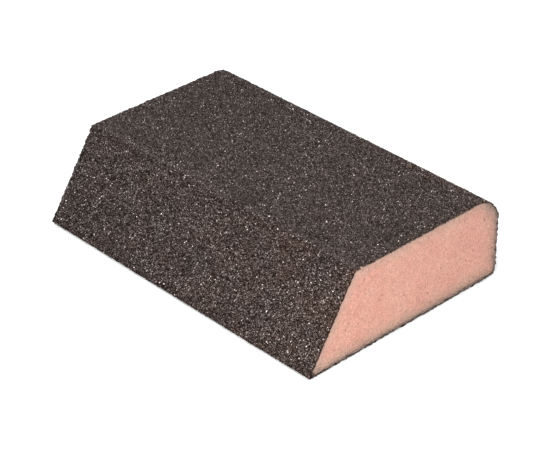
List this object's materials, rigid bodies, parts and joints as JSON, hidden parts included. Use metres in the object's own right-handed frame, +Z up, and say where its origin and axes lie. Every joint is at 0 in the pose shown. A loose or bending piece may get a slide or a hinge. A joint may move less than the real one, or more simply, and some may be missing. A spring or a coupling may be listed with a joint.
{
  "type": "sanding block",
  "caption": "Hand sanding block of resilient foam with a bevelled front edge, a rounded rear edge and abrasive grit on its long faces.",
  "frame": {"origin": "middle of the base, on the surface that the block rests on", "axes": "+X along the block's length, +Y from the bevelled front edge to the rounded rear edge, +Z up from the base to the top face"},
  "size_m": [0.1, 0.069, 0.025],
  "materials": {
    "foam": "matte fine-celled polyurethane foam, salmon pink",
    "bond": "cured resin, dull brown",
    "grit": "coarse aluminium oxide grain under a thin resin size coat, dark grey-brown"
  },
  "bodies": {
    "root": {"foam_core": "foam", "top_bond_coat": "bond", "top_grit_coat": "grit", "bevel_bond_coat": "bond", "bevel_grit_coat": "grit", "base_bond_coat": "bond", "base_grit_coat": "grit", "rear_bond_coat": "bond", "rear_grit_coat": "grit"}
  },
  "joints": []
}
